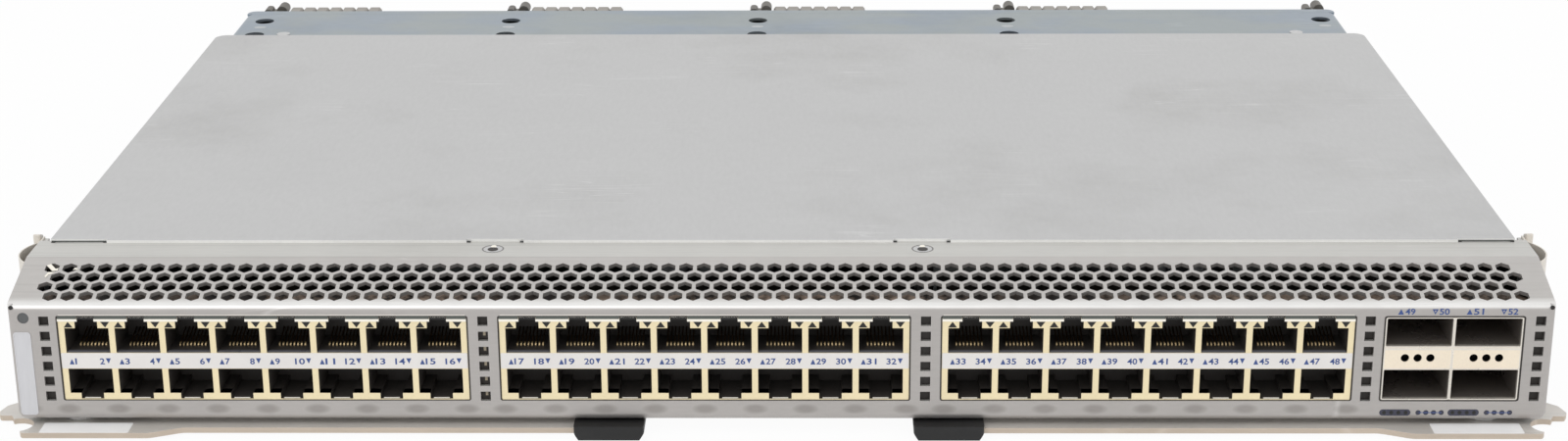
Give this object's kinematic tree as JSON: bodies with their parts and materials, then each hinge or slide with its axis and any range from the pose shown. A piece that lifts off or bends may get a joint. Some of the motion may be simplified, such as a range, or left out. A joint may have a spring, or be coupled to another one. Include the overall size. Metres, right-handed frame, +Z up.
{
  "type": "switch line card",
  "caption": "Sheet-metal switch line card with stacked network jacks and uplink cages, a perforated sloping hood, rear connectors and two swinging ejector levers.",
  "frame": {"origin": "middle of the card's box, on the plane of its lowest points (the undersides of the lever grips)", "axes": "+X to the right seen from the front, +Y from the front plate to the rear connectors, +Z up"},
  "size_m": [0.4436, 0.3076, 0.0457],
  "materials": {
    "tray_metal": "satin",
    "fastener_steel": "satin",
    "connector_grey": "matte",
    "spring_steel": "satin",
    "bezel_metal": "satin",
    "grip_black": "satin",
    "die_cast": "satin",
    "gold_contacts": "polished",
    "black_plastic": "matte",
    "jack_skin": "satin",
    "lever_steel": "satin",
    "board": "satin",
    "chip_black": "matte",
    "sink_aluminium": "satin",
    "zinc_plate": "satin",
    "light_pipe": "gloss",
    "cover_metal": "satin",
    "cage_metal": "satin",
    "ink": "matte",
    "label_film": "matte"
  },
  "bodies": {
    "card": {"base_tray": "tray_metal", "board_screws": "fastener_steel", "board_standoffs": "fastener_steel", "bracket_rivets": "fastener_steel", "cover_screws": "fastener_steel", "fabric_connector_1": "connector_grey", "fabric_connector_2": "connector_grey", "fabric_connector_3": "connector_grey", "fabric_connector_4": "connector_grey", "finger_strip_left": "spring_steel", "finger_strip_right": "spring_steel", "front_bezel": "bezel_metal", "guide_block_1": "die_cast", "guide_block_2": "die_cast", "guide_block_3": "die_cast", "guide_block_4": "die_cast", "guide_block_5": "die_cast", "hood_posts": "fastener_steel", "hood_screws": "fastener_steel", "jack_contacts_1": "gold_contacts", "jack_contacts_2": "gold_contacts", "jack_contacts_3": "gold_contacts", "jack_housing_1": "black_plastic", "jack_housing_2": "black_plastic", "jack_housing_3": "black_plastic", "jack_shield_1": "jack_skin", "jack_shield_2": "jack_skin", "jack_shield_3": "jack_skin", "lever_studs": "fastener_steel", "main_board": "board", "phy_chip_1": "chip_black", "phy_chip_2": "chip_black", "phy_chip_3": "chip_black", "phy_heat_sink_1": "sink_aluminium", "phy_heat_sink_2": "sink_aluminium", "phy_heat_sink_3": "sink_aluminium", "power_brick_left": "chip_black", "power_brick_right": "chip_black", "power_connector": "connector_grey", "rear_bracket": "zinc_plate", "status_light_pipe": "light_pipe", "switch_chip": "chip_black", "switch_heat_sink": "sink_aluminium", "tab_rivets": "fastener_steel", "top_cover": "cover_metal", "uplink_cage": "cage_metal", "uplink_connector_left": "black_plastic", "uplink_connector_right": "black_plastic", "uplink_divider_left": "cage_metal", "uplink_divider_right": "cage_metal", "uplink_light_pipes": "light_pipe"},
    "lever_left": {"lever_left": "lever_steel", "grip_left": "grip_black"},
    "lever_right": {"lever_right": "lever_steel", "grip_right": "grip_black"}
  },
  "joints": [
    {"name": "lever_left_hinge", "type": "hinge", "parent": "card", "child": "lever_left", "pos_m": [-0.19762, -0.13933, 0.00205], "axis": [0, 0, -1], "range_deg": [0, 60]},
    {"name": "lever_right_hinge", "type": "hinge", "parent": "card", "child": "lever_right", "pos_m": [0.19762, -0.13933, 0.00205], "axis": [0, 0, 1], "range_deg": [0, 60]}
  ]
}
